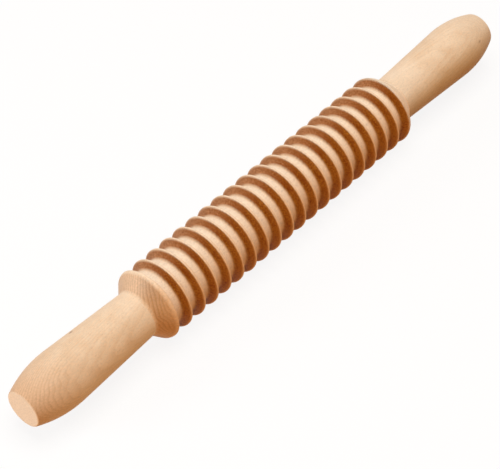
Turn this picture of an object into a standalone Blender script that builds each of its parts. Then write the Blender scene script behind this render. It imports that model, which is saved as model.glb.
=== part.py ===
# Pasta cutter rolling pin in turned beech.
# A grooved cutting barrel lies along X between two handles, whose tenons are glued into its ends.
# Each piece is turned from one outline, drawn as (radius, height) along its own axis.
# The pin rests on its cutting rings, with the origin under its middle.

import bpy
import math
from mathutils import Vector

# Whole pin
OVERALL_LENGTH = 0.320
CREST_DIAMETER = 0.0360

# Cutting rings and the grooves between them, which set the width of the pasta
GROOVE_COUNT = 19
GROOVE_PITCH = 0.00865
GROOVE_DEPTH = 0.0040
GROOVE_CORNER_RADIUS = 0.0020
RING_CREST_WIDTH = 0.0009
RING_FOOT_WIDTH = 0.0036

# Shoulders at the ends of the barrel
SHOULDER_WIDTH = 0.0013
SHOULDER_RIM_RADIUS = 0.0030
SHOULDER_CONE_ANGLE = math.radians(45.0)
NECK_HOLLOW_RADIUS = 0.0020
NECK_COLLAR_LENGTH = 0.0010

# Handles
NECK_DIAMETER = 0.0236
GRIP_DIAMETER = 0.0273
GRIP_END_DIAMETER = 0.0182
GRIP_SWELL_LENGTH = 0.0247
GRIP_SWELL_POWER = 2.07
GRIP_END_EDGE_RADIUS = 0.0008

# Glued joint between a handle and the barrel
TENON_DIAMETER = 0.0140
TENON_LENGTH = 0.0240
TENON_CHAMFER = 0.0012
BORE_MOUTH_CHAMFER = 0.0005
BORE_SPARE_DEPTH = 0.0020
JOINT_CLEARANCE = 0.0003

# Facets of the turned surfaces, a multiple of four so that a flat faces down and to each side
TURN_STEPS = 32
GRIP_CURVE_STEPS = 8
SHARP_EDGE_ANGLE = math.radians(40.0)
MERGE_DISTANCE = 0.000001

# Finish
BARREL_COLOUR = "D9AC80"
HANDLE_COLOUR = "E8C7A3"
BEECH_ROUGHNESS = 0.55


def linear(hex_colour):
    """Turns an sRGB hex colour into the linear values that Blender's shaders use."""
    channels = [int(hex_colour[i:i + 2], 16) / 255 for i in (0, 2, 4)]
    return [c / 12.92 if c <= 0.04045 else ((c + 0.055) / 1.055) ** 2.4 for c in channels] + [1.0]


def beech(name, hex_colour):
    """Plain, unvarnished turned beech."""
    material = bpy.data.materials.new(name)
    material.use_nodes = True
    shader = material.node_tree.nodes["Principled BSDF"]
    shader.inputs["Base Color"].default_value = linear(hex_colour)
    shader.inputs["Roughness"].default_value = BEECH_ROUGHNESS
    shader.inputs["Metallic"].default_value = 0.0
    return material


def rounded(corners):
    """Rounds an outline's corners, each given as (radius, height, bend radius, arc steps).

    A bend stops where its wall does: at the next corner, or halfway to one that is rounded too.
    """
    points = []
    for i, (radius, height, bend, steps) in enumerate(corners):
        corner = Vector((radius, height))
        if bend == 0:
            points.append(corner)
            continue
        walls = [(Vector(other[:2]) - corner, other[2]) for other in (corners[i - 1], corners[i + 1])]
        room = min(wall.length / 2 if other_bend > 0 else wall.length for wall, other_bend in walls)
        back, ahead = (wall.normalized() for wall, other_bend in walls)
        half_angle = back.angle(ahead) / 2
        reach = min(bend / math.tan(half_angle), room)
        bend = reach * math.tan(half_angle)
        centre = corner + (back + ahead).normalized() * bend / math.sin(half_angle)
        first = corner + back * reach - centre
        last = corner + ahead * reach - centre
        for step in range(steps + 1):
            points.append(centre + first.slerp(last, step / steps) * bend)
    return points


def turned(name, outline, axle, material, collection):
    """Turns an outline into a closed solid about Z, standing on the pin's axis.

    The flats between the facets lie at the outline's own radius, and one of them faces down.
    """
    flat_scale = 1 / math.cos(math.pi / TURN_STEPS)
    mesh = bpy.data.meshes.new(name)
    edges = [(i, i + 1) for i in range(len(outline) - 1)]
    mesh.from_pydata([(p.x * flat_scale, 0, p.y) for p in outline], edges, [])
    mesh.materials.append(material)
    piece = bpy.data.objects.new(name, mesh)
    collection.objects.link(piece)
    piece.parent = axle
    piece.rotation_euler.z = math.pi / TURN_STEPS

    screw = piece.modifiers.new("turning", "SCREW")
    screw.axis = "Z"
    screw.angle = 2 * math.pi
    screw.screw_offset = 0
    screw.steps = TURN_STEPS
    screw.render_steps = TURN_STEPS
    screw.use_merge_vertices = True
    screw.merge_threshold = MERGE_DISTANCE

    bpy.context.view_layer.update()
    solid = bpy.data.meshes.new_from_object(piece.evaluated_get(bpy.context.evaluated_depsgraph_get()))
    solid.shade_smooth()
    solid.set_sharp_from_angle(angle=SHARP_EDGE_ANGLE)
    piece.modifiers.clear()
    piece.data = solid
    bpy.data.meshes.remove(mesh)
    solid.name = name
    return piece


def groove_outline(upper_height):
    """One groove, its flat floor curving up into its sides, listed downwards from ring to ring."""
    crest = CREST_DIAMETER / 2
    floor = crest - GROOVE_DEPTH
    lower_height = upper_height - GROOVE_PITCH
    half_crest = RING_CREST_WIDTH / 2
    half_foot = RING_FOOT_WIDTH / 2
    return [
        (crest, upper_height - half_crest, 0, 0),
        (floor, upper_height - half_foot, GROOVE_CORNER_RADIUS, 2),
        (floor, lower_height + half_foot, GROOVE_CORNER_RADIUS, 2),
        (crest, lower_height + half_crest, 0, 0),
    ]


def barrel_half_length():
    """From the barrel's middle to the end face that its handle seats on."""
    cone_drop = (CREST_DIAMETER - NECK_DIAMETER) / 2
    cone_length = cone_drop / math.tan(SHOULDER_CONE_ANGLE)
    grooved = GROOVE_COUNT * GROOVE_PITCH / 2 - RING_CREST_WIDTH / 2
    return grooved + SHOULDER_WIDTH + cone_length + NECK_COLLAR_LENGTH


def shoulder_outline():
    """The upper end of the barrel, listed from the bottom of its bore out to its last groove."""
    end = barrel_half_length()
    bore = TENON_DIAMETER / 2 + JOINT_CLEARANCE
    bore_depth = TENON_LENGTH - JOINT_CLEARANCE + BORE_SPARE_DEPTH
    crest = CREST_DIAMETER / 2
    neck = NECK_DIAMETER / 2
    rim = GROOVE_COUNT * GROOVE_PITCH / 2 - RING_CREST_WIDTH / 2 + SHOULDER_WIDTH
    return [
        (0, end - bore_depth, 0, 0),
        (bore, end - bore_depth, 0, 0),
        (bore, end - BORE_MOUTH_CHAMFER, 0, 0),
        (bore + BORE_MOUTH_CHAMFER, end, 0, 0),
        (neck, end, 0, 0),
        (neck, end - NECK_COLLAR_LENGTH, NECK_HOLLOW_RADIUS, 3),
        (crest, rim, SHOULDER_RIM_RADIUS, 3),
    ]


def cutting_barrel(axle, material, collection):
    """The grooved middle of the pin: 18 thin cutting rings between two shoulders."""
    upper_end = shoulder_outline()
    lower_end = [(radius, -height, bend, steps) for radius, height, bend, steps in reversed(upper_end)]
    corners = list(upper_end)
    for i in range(GROOVE_COUNT):
        corners += groove_outline((GROOVE_COUNT / 2 - i) * GROOVE_PITCH)
    corners += lower_end
    return turned("cutting_barrel", rounded(corners), axle, material, collection)


def grip_radius(height, neck_height, end_height):
    """Radius of the handle: a straight taper out from the neck, then a curve in to the flat end."""
    neck = NECK_DIAMETER / 2
    swell_height = end_height - GRIP_SWELL_LENGTH
    taper = (GRIP_DIAMETER / 2 - neck) / (swell_height - neck_height)
    drop = neck + taper * (end_height - neck_height) - GRIP_END_DIAMETER / 2
    along_swell = max(0, (height - swell_height) / GRIP_SWELL_LENGTH)
    return neck + taper * (height - neck_height) - drop * along_swell ** GRIP_SWELL_POWER


def handle(name, axle, material, collection):
    """A grip and its tenon, with the origin at the tenon's tip and the flat end at the top."""
    seat_height = TENON_LENGTH
    end_height = seat_height + OVERALL_LENGTH / 2 - barrel_half_length() - JOINT_CLEARANCE
    swell_height = end_height - GRIP_SWELL_LENGTH
    tenon = TENON_DIAMETER / 2
    corners = [
        (0, end_height, 0, 0),
        (GRIP_END_DIAMETER / 2, end_height, GRIP_END_EDGE_RADIUS, 2),
    ]
    for i in range(1, GRIP_CURVE_STEPS + 1):
        height = end_height + (swell_height - end_height) * i / GRIP_CURVE_STEPS
        corners.append((grip_radius(height, seat_height, end_height), height, 0, 0))
    corners += [
        (NECK_DIAMETER / 2, seat_height, 0, 0),
        (tenon, seat_height, 0, 0),
        (tenon, TENON_CHAMFER, 0, 0),
        (tenon - TENON_CHAMFER, 0, 0, 0),
        (0, 0, 0, 0),
    ]
    return turned(name, rounded(corners), axle, material, collection)


def pin_axle(collection):
    """The empty that every piece is turned about: its Z runs along the pin, towards +X."""
    axle = bpy.data.objects.new("pin_axle", None)
    collection.objects.link(axle)
    axle.location.z = CREST_DIAMETER / 2
    axle.rotation_euler.y = math.pi / 2
    return axle


def build_pin():
    """Turns the three pieces and seats each handle's tenon in its end of the barrel."""
    pin = bpy.data.collections.new("pasta_cutter_pin")
    bpy.context.scene.collection.children.link(pin)
    axle = pin_axle(pin)
    cutting_barrel(axle, beech("barrel_beech", BARREL_COLOUR), pin)

    tip_height = barrel_half_length() + JOINT_CLEARANCE - TENON_LENGTH
    left = handle("left_handle", axle, beech("left_handle_beech", HANDLE_COLOUR), pin)
    left.location.z = -tip_height
    left.rotation_euler.x = math.pi
    right = handle("right_handle", axle, beech("right_handle_beech", HANDLE_COLOUR), pin)
    right.location.z = tip_height


for old in list(bpy.data.objects):
    bpy.data.objects.remove(old, do_unlink=True)
build_pin()
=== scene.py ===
import bpy
import bmesh
import math
from mathutils import Matrix, Vector


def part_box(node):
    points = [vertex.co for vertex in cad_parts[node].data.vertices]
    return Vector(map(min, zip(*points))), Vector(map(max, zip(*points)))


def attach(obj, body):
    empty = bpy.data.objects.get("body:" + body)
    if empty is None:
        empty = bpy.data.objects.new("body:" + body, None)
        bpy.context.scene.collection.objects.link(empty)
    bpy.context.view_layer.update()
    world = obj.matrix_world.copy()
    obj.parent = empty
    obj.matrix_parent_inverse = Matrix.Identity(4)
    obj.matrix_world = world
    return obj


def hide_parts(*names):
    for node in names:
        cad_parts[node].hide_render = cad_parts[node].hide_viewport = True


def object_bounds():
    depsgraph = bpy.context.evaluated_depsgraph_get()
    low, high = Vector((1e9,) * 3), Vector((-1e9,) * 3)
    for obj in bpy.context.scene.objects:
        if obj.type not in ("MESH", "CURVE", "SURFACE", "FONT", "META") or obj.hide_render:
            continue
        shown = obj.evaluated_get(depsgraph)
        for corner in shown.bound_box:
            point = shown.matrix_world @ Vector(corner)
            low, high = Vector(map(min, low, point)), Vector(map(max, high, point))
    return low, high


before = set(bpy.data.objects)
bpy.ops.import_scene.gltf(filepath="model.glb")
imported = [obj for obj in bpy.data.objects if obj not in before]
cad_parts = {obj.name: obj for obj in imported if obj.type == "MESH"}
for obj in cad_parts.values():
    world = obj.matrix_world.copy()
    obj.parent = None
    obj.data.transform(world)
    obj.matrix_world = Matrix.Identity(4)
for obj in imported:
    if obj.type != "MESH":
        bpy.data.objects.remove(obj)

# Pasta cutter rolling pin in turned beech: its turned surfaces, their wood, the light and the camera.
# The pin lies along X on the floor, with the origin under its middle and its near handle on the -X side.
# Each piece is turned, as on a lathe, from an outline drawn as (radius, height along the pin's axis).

CAD_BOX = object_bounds()

MM = 0.001

# The barrel's outline
PIN_RADIUS = (CAD_BOX[1][2] - CAD_BOX[0][2]) / 2
PIN_MIDDLE = Vector((0, 0, PIN_RADIUS))
BARREL_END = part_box("cutting_barrel")[1][0]
RING_COUNT = 18
RING_PITCH = 8.65 * MM
END_CREST_MIDDLE = (RING_COUNT + 1) * RING_PITCH / 2
GROOVE_DEPTH = 4.0 * MM
GROOVE_CORNER_RADIUS = 2.0 * MM
CREST_WIDTH = 0.9 * MM
CREST_NEAR_EDGE_RADIUS = 0.45 * MM
CREST_FAR_EDGE_RADIUS = 0.08 * MM
RING_FOOT_WIDTH = 3.6 * MM
SHOULDER_WIDTH = 1.3 * MM
SHOULDER_RIM_RADIUS = 3.0 * MM
NECK_HOLLOW_RADIUS = 2.0 * MM
NECK_COLLAR_LENGTH = 1.0 * MM
NECK_EDGE_RADIUS = 0.05 * MM

# The handles' outline
PIN_END = CAD_BOX[1][0]
NECK_RADIUS = 11.8 * MM
GRIP_RADIUS = 13.65 * MM
GRIP_END_RADIUS = 9.1 * MM
GRIP_SWELL_LENGTH = 24.7 * MM
GRIP_SWELL_POWER = 2.07
GRIP_END_EDGE_RADIUS = 0.8 * MM
GRIP_CURVE_STEPS = 20

# The glued joint inside the barrel
TENON_RADIUS = 7.0 * MM
TENON_LENGTH = 24.0 * MM
BORE_RADIUS = 7.3 * MM
BORE_DEPTH = 25.7 * MM
GLUE_LINE = 0.02 * MM

# Burnish: how the lathe left a surface, on a scale from freshly cut to rubbed brown
FRESHLY_CUT = -0.5
BARE = 0.0
CUT_ACROSS = 0.5
RUBBED_BROWN = 1.0

# The burnish of each surface. A pair of values fades along a bend, in the order of the outline.
# The foot's is past the end of the scale, so that the brown reaches some way round its bend.
CREST_BURNISH = -0.1
CREST_EDGE_BURNISH = 0.55
FOOT_BURNISH = 1.5
FLOOR_EDGE_BURNISH = -0.4
FAR_HOLLOW_BURNISH = FRESHLY_CUT
FAR_RIM_BURNISH = (-0.48, FRESHLY_CUT)
NEAR_HOLLOW_BURNISH = (0.05, 0.4)
NEAR_RIM_BURNISH = (0.35, -0.17)
NEAR_GRIP_BURNISH = {"face": -0.35, "swell": 0.5, "neck": -0.08}
FAR_GRIP_BURNISH = {"face": -0.35, "swell": -0.25, "neck": -0.28}

# A ring's side is fully brown from this depth below its crest. The swell's burnish loses this share along
# its curve, and the neck's is lost along this length.
CREST_FADE = 0.9 * MM
SWELL_FADE = 0.85
NECK_FADE = 25.0 * MM

# The lathe: its steps, its inputs in Geometry Nodes, and the short straight edge past a bend that holds
# the smooth shading
BARREL_TURN_STEPS = 128
HANDLE_TURN_STEPS = 112
CORNER_STEPS = 5
HOLDING_EDGE = 0.12 * MM
SPINDLE_RADIUS = 1.0 * MM
LATHE_INPUTS = {
    "Turn Steps": "NodeSocketInt",
    "Axis Height": "NodeSocketFloat",
    "Weld Distance": "NodeSocketFloat",
    "Wood": "NodeSocketMaterial",
}
LATHE_SETTING = {"Axis Height": PIN_RADIUS, "Weld Distance": 0.004 * MM}

# The beech's patterns: the length of their cells along the fibres and the width across them.
# Fibres, fuzz and ray flecks are finer in life. They are drawn as coarse as they need to be to show.
PATTERN_CELLS = {
    "sway": (25.0 * MM, 8.0 * MM),
    "uneven years": (150.0 * MM, 8.0 * MM),
    "fibres": (5.0 * MM, 0.6 * MM),
    "fuzz": (1.0 * MM, 0.7 * MM),
    "clouds": (9.0 * MM, 5.0 * MM),
    "rays": (2.6 * MM, 0.9 * MM),
}
NOISE_DETAIL = {"sway": 1.0, "uneven years": 1.0, "fibres": 3.0, "fuzz": 1.0, "clouds": 2.0}
NOISE_ROUGHNESS = 0.55
NOISE_MIDDLE = (0.5, 0.5, 0.5)

# The log: how deep its pith lies, how far its grain sways, and by how many years its growth is uneven
PITH_DEPTH = 70.0 * MM
GRAIN_SWAY = 0.6 * MM
YEARS_UNEVEN = 2.5

# A growth line starts and is full at a share of its year. A fleck and a knot start at their edge and are
# full at their heart, in cells from their middle.
GROWTH_LINE_START, GROWTH_LINE_FULL = 0.34, 0.97
FLECK_EDGE, FLECK_HEART = 0.35, 0.1
KNOT_CELL = (1.5 * MM, 0.9 * MM)
KNOT_EDGE, KNOT_HEART = 1.0, 0.2

# How strongly each pattern counts in a colour, its brightness or the relief, and the base it is added to
BARE_TONE = {"base": -0.74, "clouds": 0.8, "fuzz": 0.5, "fibres": 0.7, "growth lines": 0.16}
FLECK_TONE = {"base": 0.0, "flecks": 0.16}
# On the shaded side the brown is painted paler, as painted light that lifts it out of its shade
BROWN_TONE = {"base": -3.05, "shaded side": 1.4, "clouds": 1.4, "fuzz": 2.4, "fibres": 1.6}
PAINTED_SHEEN_MOTTLE = {"base": -1.4, "fibres": 2.4, "fuzz": 2.4}
SPECKLE = {"base": -0.275, "fibres": 0.2, "fuzz": 0.35}
RELIEF = {"base": 0.0, "fibres": 1.0, "fuzz": 0.5, "flecks": -0.3}

# From 0 at the pin's middle to 1 at its side away from the pith, painted shade darkens end grain and the
# painted sheen on the brown fades: where each starts and stops, and how strong it is at most
END_GRAIN_SHADE_START, END_GRAIN_SHADE_END, DARKEST_END_GRAIN_SHADE = 0.35, 0.8, 0.84
PAINTED_SHEEN_START, PAINTED_SHEEN_END, STRONGEST_PAINTED_SHEEN = 0.0, 0.75, 0.7

# Colours of the beech
EARLY_WOOD = "F3DFC4"
LATE_WOOD = "DAB58B"
RAY_FLECK = "B98252"
FRESH_CUT = "FFF1DC"
PALE_END_GRAIN = "D6B28F"
DARK_END_GRAIN = "784810"
# Painted shade: the darker, warmer colours painted on the side of a piece that is turned from the lamps
GOLDEN_PAINTED_SHADE = "F0AA5C"
BROWN_PAINTED_SHADE = "B68424"
BURNISHED = "914B08"
PALE_BURNISHED = "AE6F21"
# Painted sheen: the paler, greyer brown that stands in for the back-left softbox's sheen on the rings' sides
PAINTED_SHEEN_ON_BROWN = "BE8658"
SMALL_KNOT = "6E4428"

# Gloss and relief of bare, fine-sanded beech
BEECH_GLOSS = {"IOR": 1.5, "Specular IOR Level": 0.08, "Sheen Weight": 0.2, "Sheen Roughness": 0.4}
BARE_ROUGHNESS = 0.55
BROWN_ROUGHNESS = 0.45
RELIEF_STRENGTH = 0.2
RELIEF_HEIGHT = 0.05 * MM

# How each piece was cut from its log. Angles are about the pin's axis, from straight up towards -Y.
#   growth_angle: the way from the pith out through the pin
#   sheet_tilt: how far the sheets of growth tip along the pin, in radians
#   growth_ring: the width of a year's growth
#   ring_shift: the share of a year by which the growth lines are moved
#   end_lines: how strongly the growth lines show on end grain
#   fuzziness: how strongly fibres and fuzz speckle the colour, most on the barrel, which isn't sanded
#   painted_shade_side: painted shade on the side turned from the lamps: the angle where the wood is painted
# #     darkest and warmest, how strong that is, and its colour
#   knot: its place along the pin, its angle, and how dark it is
BARREL_CUT = {
    "growth_angle": math.radians(58), "sheet_tilt": 0.0, "growth_ring": 1.3 * MM, "ring_shift": 0.2,
    "end_lines": 0.3, "fuzziness": 1.4, "painted_shade_side": (math.radians(90), 0.45, GOLDEN_PAINTED_SHADE),
}
NEAR_GRIP_CUT = {
    "growth_angle": math.radians(57), "sheet_tilt": 0.11, "growth_ring": 0.85 * MM, "ring_shift": 0.1,
    "end_lines": 0.16, "fuzziness": 1.0, "painted_shade_side": (math.radians(90), 0.05, GOLDEN_PAINTED_SHADE),
    "knot": (-122 * MM, math.radians(-39), 0.8),
}
FAR_GRIP_CUT = {
    "growth_angle": math.radians(21), "sheet_tilt": -0.1, "growth_ring": 1.1 * MM, "ring_shift": 0.7,
    "end_lines": 0.14, "fuzziness": 1.0, "painted_shade_side": (math.radians(130), 1.08, BROWN_PAINTED_SHADE),
    "knot": (147 * MM, math.radians(56), 0.35),
}

# Light: place of each softbox's middle, its side length in metres, its power in watts, and its colour
SOFTBOXES = {
    "overhead_softbox": ((0.0, -0.05, 1.3), 0.9, 12.5, "FFFFFC"),
    "back_left_softbox": ((-1.3, 0.75, 0.6), 0.6, 12.6, "D4EAFF"),
    "front_left_softbox": ((-1.3, -0.5, 0.3), 0.5, 3.0, "FFD2A4"),
}
WHITE = "FFFFFF"
ROOM_COLOUR = "FFBE7C"
ROOM_STRENGTH = 0.27

# Floor: half its width in metres, the colour that it throws back at the pin, and its glow in the camera,
# which rises to full white between two distances from the pin, so that only a faint shadow shows
FLOOR_REACH = 4.0
FLOOR_BOUNCE = "C89E60"
FLOOR_GLOW = 0.88
GLOW_RISE_START, GLOW_RISE_END = 0.3, 1.2

# The photograph's view of the pin: where its middle lies from the lens, to the right, up and ahead
VIEW_AZIMUTH = math.radians(-48.84)
VIEW_ELEVATION = math.radians(47.5)
LENS_MM = 141.55
SENSOR_MM = 36
MIDDLE_FROM_LENS = Vector((9.3, 14.7, 912.6)) * MM


def linear(hex_colour):
    """Turns an sRGB hex colour into the linear values that shaders and lamps use."""
    channels = [int(hex_colour[i:i + 2], 16) / 255 for i in (0, 2, 4)]
    return [c / 12.92 if c <= 0.04045 else ((c + 0.055) / 1.055) ** 2.4 for c in channels] + [1.0]


def node(tree, kind, inputs=None, **settings):
    """Adds a node with its settings and links. An input takes a value, a socket, or a node's first output."""
    new = tree.nodes.new(kind)
    for name, value in settings.items():
        setattr(new, name, value)
    for key, value in (inputs or {}).items():
        socket = new.inputs[key] if isinstance(key, int) else next(
            s for s in new.inputs if s.name == key and s.enabled)
        if isinstance(value, bpy.types.Node):
            value = next(s for s in value.outputs if s.enabled)
        if isinstance(value, bpy.types.NodeSocket):
            tree.links.new(value, socket)
        else:
            socket.default_value = value
    return new


# Outlines

def rounded(corners):
    """Rounds an outline's corners, each given as (radius, height, bend radius, burnish).

    Returns points as (radius, height, burnish). A pair of burnish values fades along the bend.
    """
    points = []
    for i, (radius, height, bend, burnish) in enumerate(corners):
        if bend == 0:
            points.append((radius, height, burnish))
            continue
        corner = Vector((radius, height))
        walls = [Vector(other[:2]) - corner for other in (corners[i - 1], corners[i + 1])]
        back, ahead = (wall.normalized() for wall in walls)
        half_angle = back.angle(ahead) / 2
        reach = bend / math.tan(half_angle)
        centre = corner + (back + ahead).normalized() * bend / math.sin(half_angle)
        first = corner + back * reach - centre
        last = corner + ahead * reach - centre
        before, after = burnish if isinstance(burnish, tuple) else (burnish, burnish)
        if walls[0].length > reach + 2 * HOLDING_EDGE:
            points.append((*(centre + first + back * HOLDING_EDGE), before))
        for step in range(CORNER_STEPS + 1):
            share = step / CORNER_STEPS
            points.append((*(centre + first.slerp(last, share) * bend), before + (after - before) * share))
        if walls[1].length > reach + 2 * HOLDING_EDGE:
            points.append((*(centre + last + ahead * HOLDING_EDGE), after))
    return points


def flank_height(depth):
    """How far the side of a ring lies from the ring's middle, at a depth below its crest."""
    return CREST_WIDTH / 2 + (RING_FOOT_WIDTH - CREST_WIDTH) / 2 * depth / GROOVE_DEPTH


def near_flank(middle, crest=CREST_BURNISH):
    """The side of a ring that faces the near handle, from its crest down to the middle of the groove."""
    floor = PIN_RADIUS - GROOVE_DEPTH
    foot = middle - flank_height(GROOVE_DEPTH)
    return [
        (PIN_RADIUS, middle - flank_height(0), CREST_NEAR_EDGE_RADIUS, (crest, CREST_EDGE_BURNISH)),
        (PIN_RADIUS - CREST_FADE, middle - flank_height(CREST_FADE), 0, RUBBED_BROWN),
        (floor, foot, GROOVE_CORNER_RADIUS, (FOOT_BURNISH, FLOOR_EDGE_BURNISH)),
        (floor, middle - RING_PITCH / 2, 0, FRESHLY_CUT),
    ]


def far_flank(middle):
    """The side of a ring that faces the far handle, from the middle of the groove up to its crest."""
    floor = PIN_RADIUS - GROOVE_DEPTH
    foot = middle + flank_height(GROOVE_DEPTH)
    return [
        (floor, middle + RING_PITCH / 2, 0, FRESHLY_CUT),
        (floor, foot, GROOVE_CORNER_RADIUS, (FRESHLY_CUT, RUBBED_BROWN)),
        (PIN_RADIUS - CREST_FADE, middle + flank_height(CREST_FADE), 0, RUBBED_BROWN),
        (PIN_RADIUS, middle + flank_height(0), CREST_FAR_EDGE_RADIUS, CREST_BURNISH),
    ]


def shoulder_corners(hollow, rim_edge):
    """The upper end of the barrel, from the bottom of its bore out to the shoulder's crest.

    The hollow at the neck and the rounded rim have the burnish that is given.
    """
    rim = END_CREST_MIDDLE - CREST_WIDTH / 2 + SHOULDER_WIDTH
    return [
        (0, BARREL_END - BORE_DEPTH, 0, BARE),
        (BORE_RADIUS, BARREL_END - BORE_DEPTH, 0, BARE),
        (BORE_RADIUS, BARREL_END, 0, BARE),
        (NECK_RADIUS, BARREL_END, NECK_EDGE_RADIUS, BARE),
        (NECK_RADIUS, BARREL_END - NECK_COLLAR_LENGTH, NECK_HOLLOW_RADIUS, hollow),
        (PIN_RADIUS, rim, SHOULDER_RIM_RADIUS, rim_edge),
    ]


def grip_radius(height, seat):
    """Radius of the handle: a straight taper out from the neck, then a curve in to the flat end."""
    swell = PIN_END - GRIP_SWELL_LENGTH
    taper = (GRIP_RADIUS - NECK_RADIUS) / (swell - seat)
    drop = NECK_RADIUS + taper * (PIN_END - seat) - GRIP_END_RADIUS
    along_swell = max(0, (height - swell) / GRIP_SWELL_LENGTH)
    return NECK_RADIUS + taper * (height - seat) - drop * along_swell ** GRIP_SWELL_POWER


def handle_corners(face, swell, neck):
    """A grip and its tenon, from the middle of the flat end to the tenon's tip.

    The end face, the swell's end and the neck have the burnish that is given.
    """
    seat = BARREL_END + GLUE_LINE
    corners = [
        (0, PIN_END, 0, face),
        (GRIP_END_RADIUS, PIN_END, GRIP_END_EDGE_RADIUS, (face, swell)),
    ]
    for i in range(1, GRIP_CURVE_STEPS + 1):
        along = i / GRIP_CURVE_STEPS
        height = PIN_END - GRIP_SWELL_LENGTH * along
        corners.append((grip_radius(height, seat), height, 0, swell * (1 - SWELL_FADE * along)))
    corners += [
        (grip_radius(seat + NECK_FADE, seat), seat + NECK_FADE, 0, BARE),
        (NECK_RADIUS, seat, NECK_EDGE_RADIUS, (neck, BARE)),
        (TENON_RADIUS, seat, 0, BARE),
        (TENON_RADIUS, seat - TENON_LENGTH, 0, BARE),
        (0, seat - TENON_LENGTH, 0, BARE),
    ]
    return corners


def mirrored(corners):
    """The same corners at the other end of the pin, listed the other way round."""
    return [(radius, -height, bend, burnish[::-1] if isinstance(burnish, tuple) else burnish)
            for radius, height, bend, burnish in reversed(corners)]


def outline_object(parts):
    """An object of bare edges that holds outlines. Each part is (corners, whether the tree repeats it)."""
    positions, edges, burnish, repeats = [], [], [], []
    for corners, repeated in parts:
        points = rounded(corners)
        edges += [(i, i + 1) for i in range(len(positions), len(positions) + len(points) - 1)]
        positions += [(radius, height, 0) for radius, height, shade in points]
        burnish += [shade for radius, height, shade in points]
        repeats += [repeated] * len(points)
    mesh = bpy.data.meshes.new("outline")
    mesh.from_pydata(positions, edges, [])
    mesh.attributes.new("burnish", "FLOAT", "POINT").data.foreach_set("value", burnish)
    mesh.attributes.new("repeats", "BOOLEAN", "POINT").data.foreach_set("value", repeats)
    outline = bpy.data.objects.new("outline", mesh)
    bpy.context.scene.collection.objects.link(outline)
    return outline


# Geometry Nodes

def new_tree(name, inputs):
    """A Geometry Nodes tree that takes an outline and the named inputs, with the sockets that give them."""
    tree = bpy.data.node_groups.new(name, "GeometryNodeTree")
    tree.interface.new_socket("Outline", in_out="INPUT", socket_type="NodeSocketGeometry")
    for label, kind in inputs.items():
        tree.interface.new_socket(label, in_out="INPUT", socket_type=kind)
    tree.interface.new_socket("Piece", in_out="OUTPUT", socket_type="NodeSocketGeometry")
    return tree, node(tree, "NodeGroupInput").outputs


def lathe_tree():
    """Turns an outline into a closed solid whose axis lies along X."""
    tree, given = new_tree("lathe", LATHE_INPUTS)
    joined = node(tree, "GeometryNodeMergeByDistance", {
        "Geometry": given["Outline"], "Distance": given["Weld Distance"]})
    outline = node(tree, "GeometryNodeMeshToCurve", {"Mesh": joined})
    inward = node(tree, "GeometryNodeTransform", {
        "Geometry": outline, "Translation": (-SPINDLE_RADIUS, 0, 0)})
    spindle = node(tree, "GeometryNodeCurvePrimitiveCircle", {
        "Resolution": given["Turn Steps"], "Radius": SPINDLE_RADIUS})
    turned = node(tree, "GeometryNodeCurveToMesh", {"Curve": spindle, "Profile Curve": inward})
    closed = node(tree, "GeometryNodeMergeByDistance", {
        "Geometry": turned, "Distance": given["Weld Distance"]})
    height = node(tree, "ShaderNodeCombineXYZ", {"Z": given["Axis Height"]})
    laid = node(tree, "GeometryNodeTransform", {
        "Geometry": closed, "Translation": height, "Rotation": (0, -math.pi / 2, 0)})
    smooth = node(tree, "GeometryNodeSetShadeSmooth", {"Geometry": laid, "Shade Smooth": True})
    plain = node(tree, "GeometryNodeRealizeInstances", {"Geometry": smooth})
    wood = node(tree, "GeometryNodeSetMaterial", {"Geometry": plain, "Material": given["Wood"]})
    node(tree, "NodeGroupOutput", {"Piece": wood})
    return tree


def ring_barrel_tree(lathe):
    """Repeats one ring's outline along the barrel between the two shoulders, and turns the whole."""
    tree, given = new_tree("ring_barrel", {
        "Rings": "NodeSocketInt", "Ring Pitch": "NodeSocketFloat", **LATHE_INPUTS})
    repeats = node(tree, "GeometryNodeInputNamedAttribute", {"Name": "repeats"}, data_type="BOOLEAN")
    parts = node(tree, "GeometryNodeSeparateGeometry", {
        "Geometry": given["Outline"], "Selection": repeats})
    gaps = node(tree, "ShaderNodeMath", {0: given["Rings"], 1: 1}, operation="SUBTRACT")
    reach = node(tree, "ShaderNodeMath", {0: gaps, 1: given["Ring Pitch"]}, operation="MULTIPLY")
    start = node(tree, "ShaderNodeMath", {0: reach, 1: -0.5}, operation="MULTIPLY")
    places = node(tree, "GeometryNodeMeshLine", {
        "Count": given["Rings"],
        "Start Location": node(tree, "ShaderNodeCombineXYZ", {"Y": start}),
        "Offset": node(tree, "ShaderNodeCombineXYZ", {"Y": given["Ring Pitch"]})})
    rings = node(tree, "GeometryNodeInstanceOnPoints", {
        "Points": places, "Instance": parts.outputs["Selection"]})
    row = node(tree, "GeometryNodeRealizeInstances", {"Geometry": rings})
    whole = node(tree, "GeometryNodeJoinGeometry", {"Geometry": row})
    tree.links.new(parts.outputs["Inverted"], whole.inputs["Geometry"])
    barrel = node(tree, "GeometryNodeGroup", node_tree=lathe)
    tree.links.new(whole.outputs[0], barrel.inputs["Outline"])
    for label in LATHE_INPUTS:
        tree.links.new(given[label], barrel.inputs[label])
    wood = node(tree, "GeometryNodeSetMaterial", {"Geometry": barrel, "Material": given["Wood"]})
    node(tree, "NodeGroupOutput", {"Piece": wood})
    return tree


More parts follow.
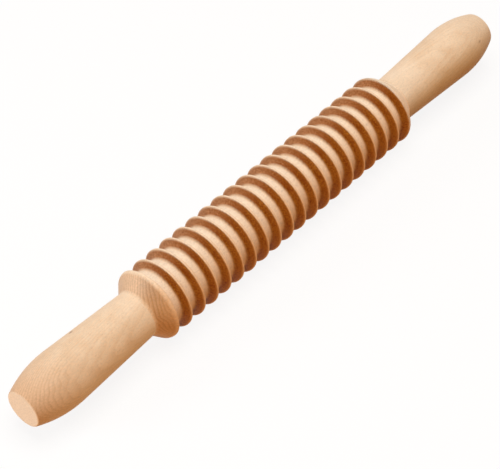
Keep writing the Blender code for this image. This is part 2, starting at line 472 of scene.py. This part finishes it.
def turned_piece(name, outline, tree, setting):
    """Runs a tree on an outline and keeps the result as a plain mesh whose faces point outwards."""
    turning = outline.modifiers.new("turning", "NODES")
    turning.node_group = tree
    sockets = {s.name: s.identifier for s in tree.interface.items_tree if s.in_out == "INPUT"}
    for label, value in {**setting, **LATHE_SETTING}.items():
        turning[sockets[label]] = value
    bpy.context.view_layer.update()
    mesh = bpy.data.meshes.new_from_object(outline.evaluated_get(bpy.context.evaluated_depsgraph_get()))
    bpy.data.objects.remove(outline, do_unlink=True)
    solid = bmesh.new()
    solid.from_mesh(mesh)
    bmesh.ops.recalc_face_normals(solid, faces=solid.faces)
    solid.to_mesh(mesh)
    solid.free()
    mesh.name = name
    piece = bpy.data.objects.new(name, mesh)
    bpy.context.scene.collection.objects.link(piece)
    return piece


# Wood

def outwards(angle):
    """The way out from the pin's axis, at an angle about it from straight up towards -Y."""
    return Vector((0, -math.sin(angle), math.cos(angle)))


def weighed(tree, patterns, weights):
    """The base that the weights give, plus each other pattern that they name times its weight."""
    total = weights["base"]
    for label, weight in weights.items():
        if label != "base":
            total = node(tree, "ShaderNodeMath", {0: patterns[label], 1: weight, 2: total},
                         operation="MULTIPLY_ADD")
    return total


def layered(tree, colour, *coats):
    """A hex colour with coats over it, each given as (how much of it shows, its hex colour or a node)."""
    mixed = linear(colour)
    for share, coat in coats:
        mixed = node(tree, "ShaderNodeMix", {
            "Factor": share, "A": mixed, "B": linear(coat) if isinstance(coat, str) else coat},
            data_type="RGBA")
    return mixed


def cells_per_metre(cell):
    """How many of a pattern's cells lie in a metre along the log's fibres, and both ways across them."""
    along, across = cell
    return Vector((1 / along, 1 / across, 1 / across))


def beech_patterns(tree, log, cut):
    """Beech's patterns by name, drawn in the log: its X runs along the fibres and its Z out from the pith."""
    cells = {label: node(tree, "ShaderNodeVectorMath", {0: log, 1: cells_per_metre(cell)},
                         operation="MULTIPLY")
             for label, cell in PATTERN_CELLS.items()}
    patterns = {label: node(tree, "ShaderNodeTexNoise", {
                    "Vector": cells[label], "Scale": 1.0, "Detail": detail, "Roughness": NOISE_ROUGHNESS})
                for label, detail in NOISE_DETAIL.items()}
    rays = node(tree, "ShaderNodeTexVoronoi", {"Vector": cells["rays"], "Scale": 1.0})
    patterns["flecks"] = node(tree, "ShaderNodeMapRange", {
        "Value": rays.outputs["Distance"], "From Min": FLECK_EDGE, "From Max": FLECK_HEART},
        interpolation_type="SMOOTHSTEP")

    sway = node(tree, "ShaderNodeVectorMath", {
        0: patterns["sway"].outputs["Color"], 1: NOISE_MIDDLE}, operation="SUBTRACT")
    swayed = node(tree, "ShaderNodeVectorMath", {0: sway, 1: (0, GRAIN_SWAY, GRAIN_SWAY), 2: log},
                  operation="MULTIPLY_ADD")
    across_fibres = node(tree, "ShaderNodeVectorMath", {0: swayed, 1: (0, 1, 1)}, operation="MULTIPLY")
    from_pith = node(tree, "ShaderNodeVectorMath", {0: across_fibres}, operation="LENGTH").outputs["Value"]
    patterns["from pith"] = from_pith
    years = weighed(tree, patterns, {
        "base": cut["ring_shift"], "uneven years": YEARS_UNEVEN, "from pith": 1 / cut["growth_ring"]})
    patterns["growth lines"] = node(tree, "ShaderNodeMapRange", {
        "Value": node(tree, "ShaderNodeMath", {0: years}, operation="FRACT"),
        "From Min": GROWTH_LINE_START, "From Max": GROWTH_LINE_FULL}, interpolation_type="SMOOTHSTEP")
    patterns["outward"] = node(tree, "ShaderNodeMapRange", {
        "Value": from_pith, "From Min": PITH_DEPTH, "From Max": PITH_DEPTH + PIN_RADIUS})
    return patterns


def turned_beech(name, cut):
    """Beech turned on a lathe, its handles fine-sanded, and left bare.

    The eye sees a pale, even wood with faint growth lines, short flecks where its rays are cut, painted shade
    that makes the side turned from the lamps darker and warmer, and the soft sheen of fine sanding. Floors
    that the cutter left fresh are paler, and a slope across the fibres shows darker end grain, with painted
    shade that darkens it more away from the pith. Where the cutter rubbed the sides of the rings they are
    burnished brown and a little glossier, with the brown painted paler on the shaded side, and a painted
    sheen that makes it paler and greyer towards the pith.
    """
    material = bpy.data.materials.new(name)
    material.use_nodes = True
    tree = material.node_tree
    shader = tree.nodes["Principled BSDF"]

    lie = Matrix.Rotation(cut["growth_angle"], 3, "X") @ Matrix.Rotation(cut["sheet_tilt"], 3, "Y")
    pith = PIN_MIDDLE - outwards(cut["growth_angle"]) * PITH_DEPTH
    log = node(tree, "ShaderNodeMapping", {
        "Vector": node(tree, "ShaderNodeTexCoord").outputs["Object"],
        "Location": pith, "Rotation": lie.to_euler()}, vector_type="TEXTURE")
    patterns = beech_patterns(tree, log, cut)

    # Painted shade: the side turned from the lamps is painted darker and warmer, and the brown there paler
    shade_angle, painted_shade_strength, painted_shade_colour = cut["painted_shade_side"]
    side = lie.transposed() @ outwards(shade_angle) / PIN_RADIUS
    from_middle = -side.dot(lie.transposed() @ (PIN_MIDDLE - pith))
    sideways = node(tree, "ShaderNodeVectorMath", {0: log, 1: side}, operation="DOT_PRODUCT")
    patterns["shaded side"] = node(tree, "ShaderNodeMath", {
        0: sideways.outputs["Value"], 1: from_middle}, operation="ADD", use_clamp=True)

    burnish = node(tree, "ShaderNodeAttribute", attribute_name="burnish").outputs["Fac"]
    to_fresh_cut = node(tree, "ShaderNodeMapRange", {
        "Value": burnish, "From Min": BARE, "From Max": FRESHLY_CUT})
    to_end_grain = node(tree, "ShaderNodeMapRange", {
        "Value": burnish, "From Min": BARE, "From Max": CUT_ACROSS})
    to_brown = node(tree, "ShaderNodeMapRange", {
        "Value": burnish, "From Min": CUT_ACROSS, "From Max": RUBBED_BROWN})

    # Painted shade: end grain is painted darker towards the side away from the pith
    painted_end_grain_shade = node(tree, "ShaderNodeMapRange", {
        "Value": patterns["outward"], "From Min": END_GRAIN_SHADE_START, "From Max": END_GRAIN_SHADE_END,
        "To Max": DARKEST_END_GRAIN_SHADE})
    end_grain = layered(
        tree, PALE_END_GRAIN,
        (weighed(tree, patterns, {"base": painted_end_grain_shade, "growth lines": cut["end_lines"]}), DARK_END_GRAIN))
    # Painted sheen: towards the pith, on the barrel the side facing the back-left softbox, the brown is
    # painted paler and greyer
    painted_sheen = node(tree, "ShaderNodeMapRange", {
        "Value": patterns["outward"], "From Min": PAINTED_SHEEN_START, "From Max": PAINTED_SHEEN_END,
        "To Min": STRONGEST_PAINTED_SHEEN, "To Max": 0.0})
    mottled_painted_sheen = node(tree, "ShaderNodeMath", {
        0: painted_sheen, 1: weighed(tree, patterns, PAINTED_SHEEN_MOTTLE)}, operation="MULTIPLY")
    brown = layered(
        tree, BURNISHED,
        (weighed(tree, patterns, BROWN_TONE), PALE_BURNISHED),
        (mottled_painted_sheen, PAINTED_SHEEN_ON_BROWN))
    coats = [
        (weighed(tree, patterns, BARE_TONE), LATE_WOOD),
        (weighed(tree, patterns, FLECK_TONE), RAY_FLECK),
        (to_fresh_cut, FRESH_CUT),
        (to_end_grain, end_grain),
        # painted shade on the side turned from the lamps
        (weighed(tree, patterns, {"base": 0.0, "shaded side": painted_shade_strength}), painted_shade_colour),
        (to_brown, brown),
    ]
    if "knot" in cut:
        x, knot_angle, darkness = cut["knot"]
        spot = Vector((x, 0, PIN_RADIUS)) + outwards(knot_angle) * grip_radius(abs(x), BARREL_END)
        in_cells = cells_per_metre(KNOT_CELL)
        from_knot = node(tree, "ShaderNodeVectorMath", {
            0: node(tree, "ShaderNodeVectorMath", {0: log, 1: in_cells}, operation="MULTIPLY"),
            1: lie.transposed() @ (spot - pith) * in_cells}, operation="DISTANCE")
        coats.append((node(tree, "ShaderNodeMapRange", {
            "Value": from_knot.outputs["Value"], "From Min": KNOT_EDGE, "From Max": KNOT_HEART,
            "To Max": darkness}), SMALL_KNOT))

    speckle = {label: weight * cut["fuzziness"] for label, weight in SPECKLE.items()}
    brightness = weighed(tree, patterns, {**speckle, "base": 1 + speckle["base"]})
    speckled = node(tree, "ShaderNodeHueSaturation", {
        "Value": brightness, "Color": layered(tree, EARLY_WOOD, *coats)})
    tree.links.new(speckled.outputs["Color"], shader.inputs["Base Color"])

    bump = node(tree, "ShaderNodeBump", {
        "Height": weighed(tree, patterns, RELIEF), "Strength": RELIEF_STRENGTH, "Distance": RELIEF_HEIGHT})
    tree.links.new(bump.outputs["Normal"], shader.inputs["Normal"])
    roughness = node(tree, "ShaderNodeMapRange", {
        "Value": burnish, "From Min": BARE, "From Max": RUBBED_BROWN,
        "To Min": BARE_ROUGHNESS, "To Max": BROWN_ROUGHNESS})
    tree.links.new(roughness.outputs["Result"], shader.inputs["Roughness"])
    for label, value in BEECH_GLOSS.items():
        shader.inputs[label].default_value = value
    return material


# Pieces

lathe = lathe_tree()
ring = far_flank(0) + near_flank(0)
far_end = shoulder_corners(FAR_HOLLOW_BURNISH, FAR_RIM_BURNISH) + near_flank(END_CREST_MIDDLE, FRESHLY_CUT)
near_end = far_flank(-END_CREST_MIDDLE) + mirrored(shoulder_corners(NEAR_HOLLOW_BURNISH, NEAR_RIM_BURNISH))

ring_barrel = turned_piece(
    "ring_barrel", outline_object([(far_end, False), (ring, True), (near_end, False)]),
    ring_barrel_tree(lathe), {
        "Rings": RING_COUNT, "Ring Pitch": RING_PITCH, "Turn Steps": BARREL_TURN_STEPS,
        "Wood": turned_beech("barrel_turned_beech", BARREL_CUT)})
near_grip = turned_piece(
    "near_grip", outline_object([(mirrored(handle_corners(**NEAR_GRIP_BURNISH)), False)]),
    lathe, {"Turn Steps": HANDLE_TURN_STEPS, "Wood": turned_beech("near_grip_turned_beech", NEAR_GRIP_CUT)})
far_grip = turned_piece(
    "far_grip", outline_object([(handle_corners(**FAR_GRIP_BURNISH), False)]),
    lathe, {"Turn Steps": HANDLE_TURN_STEPS, "Wood": turned_beech("far_grip_turned_beech", FAR_GRIP_CUT)})

for piece, cad_node, finish in (
        (ring_barrel, "cutting_barrel", "barrel_beech"),
        (near_grip, "left_handle", "handle_beech"),
        (far_grip, "right_handle", "handle_beech")):
    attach(piece, "root")
    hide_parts(cad_node)


# Studio

def white_to_the_camera(tree):
    """1 for what the camera, a gloss or a glass sees straight on, and 0 for what lights the pin."""
    ray = node(tree, "ShaderNodeLightPath").outputs
    seen = node(tree, "ShaderNodeMath", {0: ray["Is Camera Ray"], 1: ray["Is Glossy Ray"]}, operation="ADD")
    return node(tree, "ShaderNodeMath", {0: seen, 1: ray["Is Transmission Ray"]},
                operation="ADD", use_clamp=True)


def white_room():
    """A world that is plain white to the camera and lights the pin with a soft, warm fill."""
    world = bpy.data.worlds.new("studio")
    world.use_nodes = True
    tree = world.node_tree
    tree.nodes.clear()
    fill = node(tree, "ShaderNodeBackground", {"Color": linear(ROOM_COLOUR), "Strength": ROOM_STRENGTH})
    white = node(tree, "ShaderNodeBackground", {"Color": linear(WHITE), "Strength": 1.0})
    node(tree, "ShaderNodeOutputWorld", {"Surface": node(tree, "ShaderNodeMixShader", {
        0: white_to_the_camera(tree), 1: fill, 2: white})})
    return world


def white_paper():
    """Matt white paper: the camera sees it white with the pin's faint shadow, and its bounce is warm."""
    paper = bpy.data.materials.new("floor_white_paper")
    paper.use_nodes = True
    tree = paper.node_tree
    tree.nodes.clear()
    seen = white_to_the_camera(tree)
    colour = node(tree, "ShaderNodeMix", {
        "Factor": seen, "A": linear(FLOOR_BOUNCE), "B": linear(WHITE)}, data_type="RGBA")
    matt = node(tree, "ShaderNodeBsdfDiffuse", {"Color": colour})
    glow = node(tree, "ShaderNodeEmission", {"Color": linear(WHITE), "Strength": 1.0})
    from_pin = node(tree, "ShaderNodeVectorMath", {
        0: node(tree, "ShaderNodeTexCoord").outputs["Object"]}, operation="LENGTH")
    glow_there = node(tree, "ShaderNodeMapRange", {
        "Value": from_pin.outputs["Value"], "From Min": GLOW_RISE_START, "From Max": GLOW_RISE_END,
        "To Min": FLOOR_GLOW, "To Max": 1.0})
    glow_seen = node(tree, "ShaderNodeMath", {0: seen, 1: glow_there}, operation="MULTIPLY")
    node(tree, "ShaderNodeOutputMaterial", {"Surface": node(tree, "ShaderNodeMixShader", {
        0: glow_seen, 1: matt, 2: glow})})
    return paper


def paper_floor():
    """A wide flat sheet under the pin."""
    mesh = bpy.data.meshes.new("floor")
    corners = [(x * FLOOR_REACH, y * FLOOR_REACH, 0) for x, y in ((-1, -1), (1, -1), (1, 1), (-1, 1))]
    mesh.from_pydata(corners, [], [(0, 1, 2, 3)])
    mesh.materials.append(white_paper())
    sheet = bpy.data.objects.new("floor", mesh)
    bpy.context.scene.collection.objects.link(sheet)
    return sheet


def softbox(name, place, side, watts, colour):
    """A square lamp that faces the pin's middle."""
    lamp = bpy.data.lights.new(name, "AREA")
    lamp.shape = "SQUARE"
    lamp.size = side
    lamp.energy = watts
    lamp.color = linear(colour)[:3]
    box = bpy.data.objects.new(name, lamp)
    box.location = place
    box.rotation_euler = (Vector(place) - PIN_MIDDLE).to_track_quat("Z", "Y").to_euler()
    bpy.context.scene.collection.objects.link(box)


def photograph_camera():
    """A camera with the photograph's view of the pin."""
    lens = bpy.data.cameras.new("camera")
    lens.lens = LENS_MM
    lens.sensor_width = SENSOR_MM
    camera = bpy.data.objects.new("camera", lens)
    turn = Matrix.Rotation(VIEW_AZIMUTH, 3, "Z") @ Matrix.Rotation(math.pi / 2 - VIEW_ELEVATION, 3, "X")
    right, up, back = turn.col
    x, y, ahead = MIDDLE_FROM_LENS
    camera.location = PIN_MIDDLE - right * x - up * y + back * ahead
    camera.rotation_euler = turn.to_euler()
    bpy.context.scene.collection.objects.link(camera)
    return camera


bpy.context.scene.world = white_room()
floor = paper_floor()
for softbox_name, setting in SOFTBOXES.items():
    softbox(softbox_name, *setting)
bpy.context.scene.camera = photograph_camera()
bpy.context.scene.view_settings.view_transform = "Standard"
